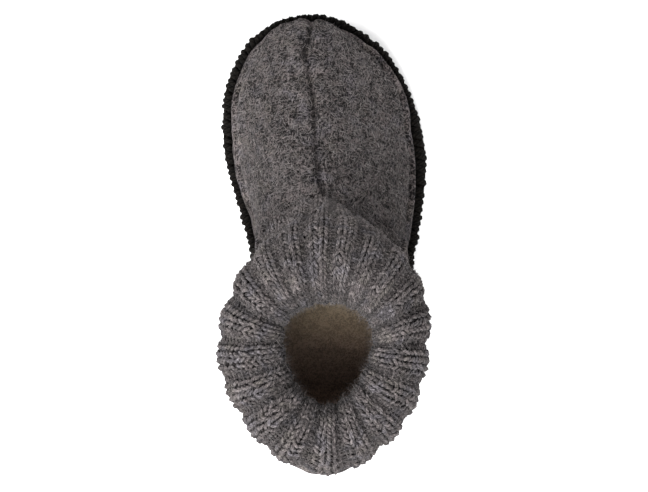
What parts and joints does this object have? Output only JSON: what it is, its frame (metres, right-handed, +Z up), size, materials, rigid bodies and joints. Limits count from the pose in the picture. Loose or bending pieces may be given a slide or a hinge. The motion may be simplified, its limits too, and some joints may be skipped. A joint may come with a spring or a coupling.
{
  "type": "wool slipper",
  "caption": "Closed-toe slipper for the right foot: felted wool upper with a centre seam, stitched edge, flat rubber sole and a puffed rib-knit cuff round the opening.",
  "frame": {"origin": "on the floor under the middle of the slipper's bounding box", "axes": "+Y from heel to toe, +X to the lateral side of the right foot, +Z up from the floor"},
  "size_m": [0.1006, 0.2278, 0.0984],
  "materials": {
    "outsole": "matt black rubber",
    "insole": "olive brown felt",
    "upper": "heathered dark grey boiled wool",
    "stitched_edge": "black wool yarn",
    "cuff": "heathered mid grey rib knit"
  },
  "bodies": {
    "root": {"outsole": "outsole", "insole": "insole", "upper": "upper", "stitched_edge": "stitched_edge", "cuff": "cuff"}
  },
  "joints": []
}
